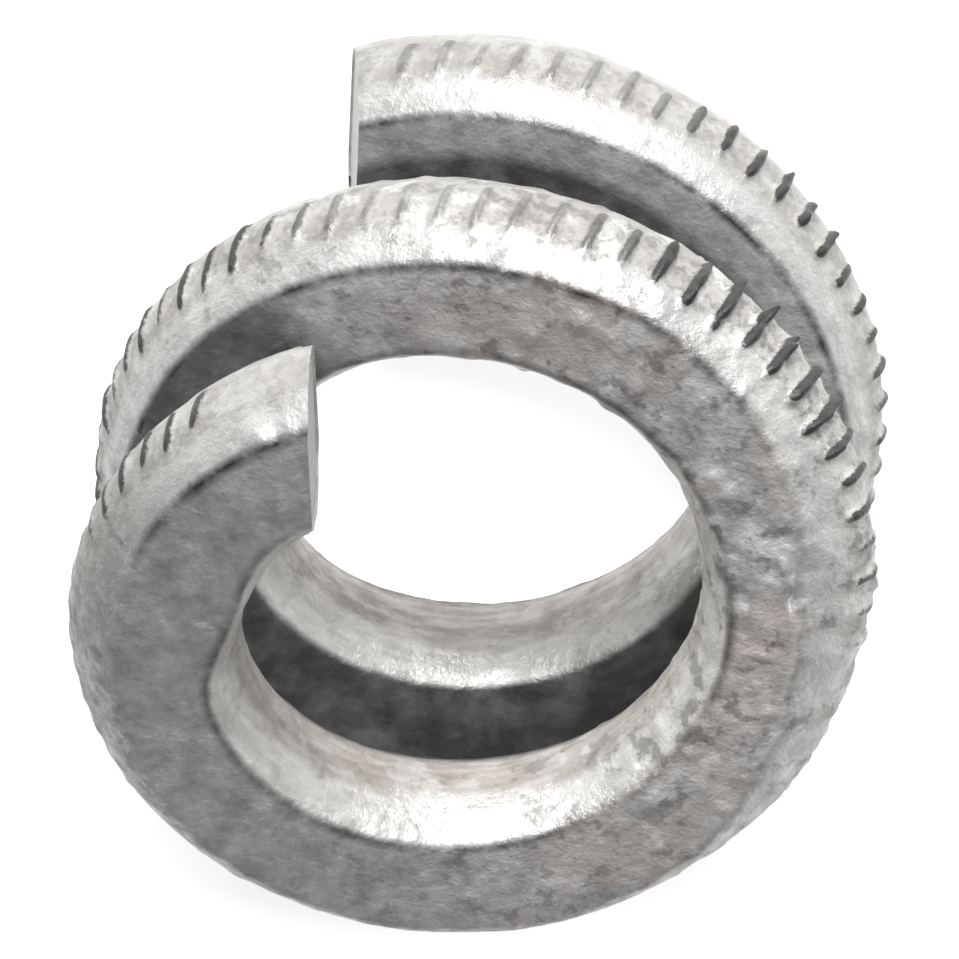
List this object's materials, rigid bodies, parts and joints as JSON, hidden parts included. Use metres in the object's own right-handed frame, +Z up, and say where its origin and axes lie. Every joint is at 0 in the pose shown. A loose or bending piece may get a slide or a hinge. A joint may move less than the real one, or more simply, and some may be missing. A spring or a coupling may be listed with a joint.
{
  "type": "spring lock washer",
  "caption": "Double-coil spring lock washer: a left-hand coil of flattened steel bar with crowned walls, rolled edge marks and straight sheared ends, standing open on its lower end.",
  "frame": {"origin": "centre of the footprint on the floor that the washer stands on, under the middle of its bounding box", "axes": "+Z up from the floor. The washer stands on its lower end, so its bore leans about 15 degrees from +Z, nearly straight towards +Y. Both sheared ends lie in the front right quarter, at +X and -Y, the upper end pointing towards -Y"},
  "size_m": [0.0446, 0.049, 0.0393],
  "materials": {
    "coiled_steel": "rough grey zinc-coated steel with small dents and pits, worn bright on the crowned walls"
  },
  "bodies": {
    "root": {"spring_lock_washer": "coiled_steel"}
  },
  "joints": []
}
